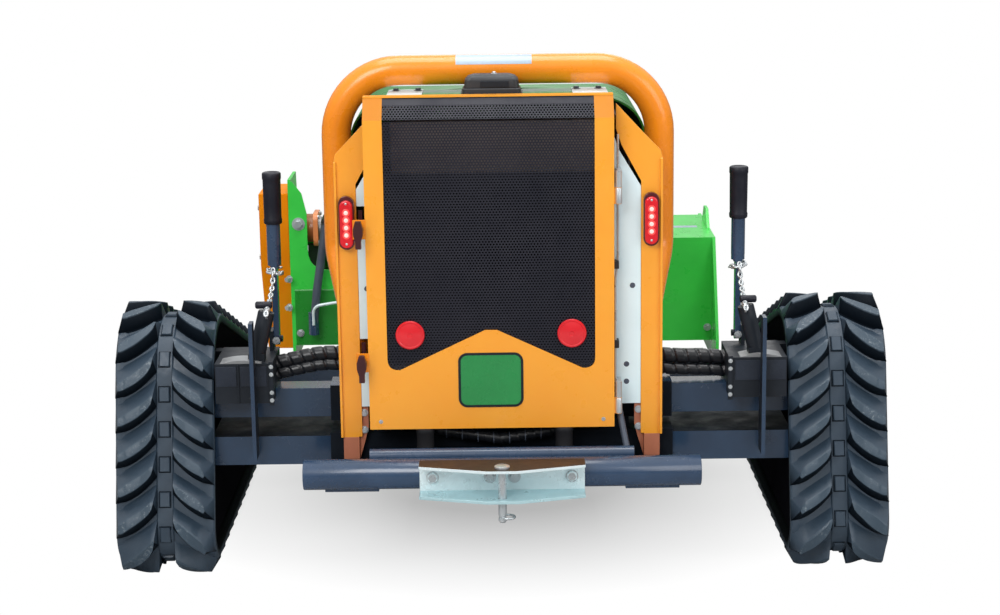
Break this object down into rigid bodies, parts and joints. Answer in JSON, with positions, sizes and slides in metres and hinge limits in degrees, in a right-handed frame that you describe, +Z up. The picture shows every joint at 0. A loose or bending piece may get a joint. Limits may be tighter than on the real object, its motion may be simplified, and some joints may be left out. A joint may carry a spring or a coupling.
{
  "type": "remote control slope mower",
  "caption": "Tracked remote control slope mower with a roll hoop, hinged rear radiator door, extending tracks and a front flail head.",
  "frame": {"origin": "on the ground, under the middle of the machine's overall length and width", "axes": "+Y forward, towards the flail head; +X to the machine's right, seen from behind; +Z up"},
  "size_m": [1.57, 1.8244, 1.0464],
  "materials": {
    "orange_paint": "gloss orange paint on steel sheet and tube",
    "green_paint": "gloss green paint",
    "chassis_paint": "gloss dark blue-grey paint",
    "white_paint": "satin white paint",
    "black_paint": "satin black paint",
    "black_plastic": "dark moulded plastic",
    "zinc": "pale zinc-plated steel",
    "aluminium": "bare cast and brazed aluminium",
    "cast_iron": "machined cast iron and forged steel",
    "rubber": "black rubber",
    "track_rubber": "worn track rubber",
    "red_lens": "clear red moulded lens",
    "motor_paint": "orange-brown primer"
  },
  "bodies": {
    "chassis": {"chassis_frame": "chassis_paint", "bumper_tube": "chassis_paint", "tow_bracket": "zinc", "roll_hoop": "orange_paint", "hoop_bracket_left": "orange_paint", "hoop_bracket_right": "orange_paint", "tail_light_left": "red_lens", "tail_light_right": "red_lens", "receiver_box": "black_plastic", "rear_cowl": "black_plastic", "side_panel_left": "white_paint", "side_panel_right": "white_paint", "radiator_pack": "aluminium", "engine_block": "aluminium", "hydraulic_tank": "black_plastic", "fuel_tank": "black_plastic", "buffer_left": "rubber", "buffer_right": "rubber", "rear_hose": "rubber", "hose_left": "rubber", "hose_right": "rubber", "door_hinge_upper": "zinc", "door_hinge_lower": "zinc", "lift_barrel": "black_paint"},
    "hood": {"engine_hood": "green_paint"},
    "fan": {"radiator_fan": "black_plastic"},
    "door": {"door_frame": "orange_paint", "door_grille": "black_paint", "reflector_left": "red_lens", "reflector_right": "red_lens"},
    "latch_upper_body": {"latch_upper": "black_plastic"},
    "latch_lower_body": {"latch_lower": "black_plastic"},
    "tow_pin_body": {"tow_pin": "zinc"},
    "lift": {"lift_frame": "chassis_paint"},
    "rod": {"lift_rod": "zinc"},
    "head": {"mower_deck": "green_paint", "belt_cover": "orange_paint", "head_motor": "motor_paint", "motor_hose": "rubber"},
    "rotor": {"flail_rotor": "cast_iron"},
    "roller": {"ground_roller": "green_paint"},
    "flap": {"front_flap": "green_paint"},
    "track_left": {"track_frame_left": "black_paint", "track_belt_left": "track_rubber"},
    "sprocket_left_body": {"sprocket_left": "cast_iron"},
    "front_wheel_left_body": {"front_wheel_left": "black_paint"},
    "rear_wheel_left_body": {"rear_wheel_left": "black_paint"},
    "middle_roller_left_body": {"middle_roller_left": "black_paint"},
    "lever_left_body": {"lever_left": "black_paint", "lever_grip_left": "rubber"},
    "lock_pin_left_body": {"lock_pin_left": "black_paint"},
    "track_right": {"track_frame_right": "black_paint", "track_belt_right": "track_rubber"},
    "sprocket_right_body": {"sprocket_right": "cast_iron"},
    "front_wheel_right_body": {"front_wheel_right": "black_paint"},
    "rear_wheel_right_body": {"rear_wheel_right": "black_paint"},
    "middle_roller_right_body": {"middle_roller_right": "black_paint"},
    "lever_right_body": {"lever_right": "black_paint", "lever_grip_right": "rubber"},
    "lock_pin_right_body": {"lock_pin_right": "black_paint"}
  },
  "joints": [
    {"name": "door_swing", "type": "hinge", "parent": "chassis", "child": "door", "pos_m": [0.236, -0.71978, 0.65], "axis": [0, 0, 1], "range_deg": [0, 110]},
    {"name": "latch_upper_turn", "type": "hinge", "parent": "door", "child": "latch_upper_body", "pos_m": [-0.276, -0.72777, 0.722], "axis": [0, -1, 0], "range_deg": [0, 90]},
    {"name": "latch_lower_turn", "type": "hinge", "parent": "door", "child": "latch_lower_body", "pos_m": [-0.276, -0.72777, 0.452], "axis": [0, -1, 0], "range_deg": [0, 90]},
    {"name": "hood_lift", "type": "hinge", "parent": "chassis", "child": "hood", "pos_m": [0, 0.32053, 0.422], "axis": [1, 0, 0], "range_deg": [-50, 0]},
    {"name": "fan_spin", "type": "hinge", "parent": "chassis", "child": "fan", "pos_m": [0, -0.58278, 0.655], "axis": [0, 1, 0], "continuous": true},
    {"name": "tow_pin_pull", "type": "slide", "parent": "chassis", "child": "tow_pin_body", "axis": [0, 0, 1], "range_m": [0, 0.015]},
    {"name": "lift_pivot", "type": "hinge", "parent": "chassis", "child": "lift", "pos_m": [0, 0.27222, 0.3], "axis": [1, 0, 0], "range_deg": [-14, 20]},
    {"name": "lift_rod_slide", "type": "slide", "parent": "chassis", "child": "rod", "axis": [0, 1, 0], "range_m": [-0.016, 0.022]},
    {"name": "head_float", "type": "hinge", "parent": "lift", "child": "head", "pos_m": [0, 0.49223, 0.33], "axis": [0, 1, 0], "range_deg": [-8, 8]},
    {"name": "rotor_spin", "type": "hinge", "parent": "head", "child": "rotor", "pos_m": [0, 0.70222, 0.29], "axis": [1, 0, 0], "continuous": true},
    {"name": "roller_spin", "type": "hinge", "parent": "head", "child": "roller", "pos_m": [0, 0.56222, 0.115], "axis": [1, 0, 0], "continuous": true},
    {"name": "flap_swing", "type": "hinge", "parent": "head", "child": "flap", "pos_m": [0, 0.88772, 0.457], "axis": [1, 0, 0], "range_deg": [0, 70]},
    {"name": "track_slide_left", "type": "slide", "parent": "chassis", "child": "track_left", "axis": [-1, 0, 0], "range_m": [0, 0.1], "deforming": ["hose_left"]},
    {"name": "sprocket_left_spin", "type": "hinge", "parent": "track_left", "child": "sprocket_left_body", "pos_m": [-0.685, -0.52777, 0.379], "axis": [1, 0, 0], "continuous": true},
    {"name": "front_wheel_left_spin", "type": "hinge", "parent": "track_left", "child": "front_wheel_left_body", "pos_m": [-0.685, 0.12223, 0.16], "axis": [1, 0, 0], "continuous": true},
    {"name": "rear_wheel_left_spin", "type": "hinge", "parent": "track_left", "child": "rear_wheel_left_body", "pos_m": [-0.685, -0.66078, 0.1], "axis": [1, 0, 0], "continuous": true},
    {"name": "middle_roller_left_spin", "type": "hinge", "parent": "track_left", "child": "middle_roller_left_body", "pos_m": [-0.685, -0.26777, 0.1], "axis": [1, 0, 0], "continuous": true},
    {"name": "lever_left_tilt", "type": "hinge", "parent": "track_left", "child": "lever_left_body", "pos_m": [-0.465, -0.54278, 0.462], "axis": [1, 0, 0], "range_deg": [-15, 25]},
    {"name": "lock_pin_left_pull", "type": "slide", "parent": "track_left", "child": "lock_pin_left_body", "axis": [0.2419, 0, 0.9703], "range_m": [0, 0.03]},
    {"name": "track_slide_right", "type": "slide", "parent": "chassis", "child": "track_right", "axis": [1, 0, 0], "range_m": [0, 0.1], "deforming": ["hose_right"]},
    {"name": "sprocket_right_spin", "type": "hinge", "parent": "track_right", "child": "sprocket_right_body", "pos_m": [0.685, -0.52777, 0.379], "axis": [1, 0, 0], "continuous": true},
    {"name": "front_wheel_right_spin", "type": "hinge", "parent": "track_right", "child": "front_wheel_right_body", "pos_m": [0.685, 0.12223, 0.16], "axis": [1, 0, 0], "continuous": true},
    {"name": "rear_wheel_right_spin", "type": "hinge", "parent": "track_right", "child": "rear_wheel_right_body", "pos_m": [0.685, -0.66078, 0.1], "axis": [1, 0, 0], "continuous": true},
    {"name": "middle_roller_right_spin", "type": "hinge", "parent": "track_right", "child": "middle_roller_right_body", "pos_m": [0.685, -0.26777, 0.1], "axis": [1, 0, 0], "continuous": true},
    {"name": "lever_right_tilt", "type": "hinge", "parent": "track_right", "child": "lever_right_body", "pos_m": [0.493, -0.54278, 0.462], "axis": [1, 0, 0], "range_deg": [-15, 25]},
    {"name": "lock_pin_right_pull", "type": "slide", "parent": "track_right", "child": "lock_pin_right_body", "axis": [-0.2419, 0, 0.9703], "range_m": [0, 0.03]}
  ],
  "couplings": [
    {"joint": "lift_rod_slide", "follows": "lift_pivot", "m_per_rad": 0.06},
    {"joint": "front_wheel_left_spin", "follows": "sprocket_left_spin", "ratio": 1},
    {"joint": "rear_wheel_left_spin", "follows": "sprocket_left_spin", "ratio": 2.2},
    {"joint": "middle_roller_left_spin", "follows": "sprocket_left_spin", "ratio": 2.2},
    {"joint": "front_wheel_right_spin", "follows": "sprocket_right_spin", "ratio": 1},
    {"joint": "rear_wheel_right_spin", "follows": "sprocket_right_spin", "ratio": 2.2},
    {"joint": "middle_roller_right_spin", "follows": "sprocket_right_spin", "ratio": 2.2}
  ]
}
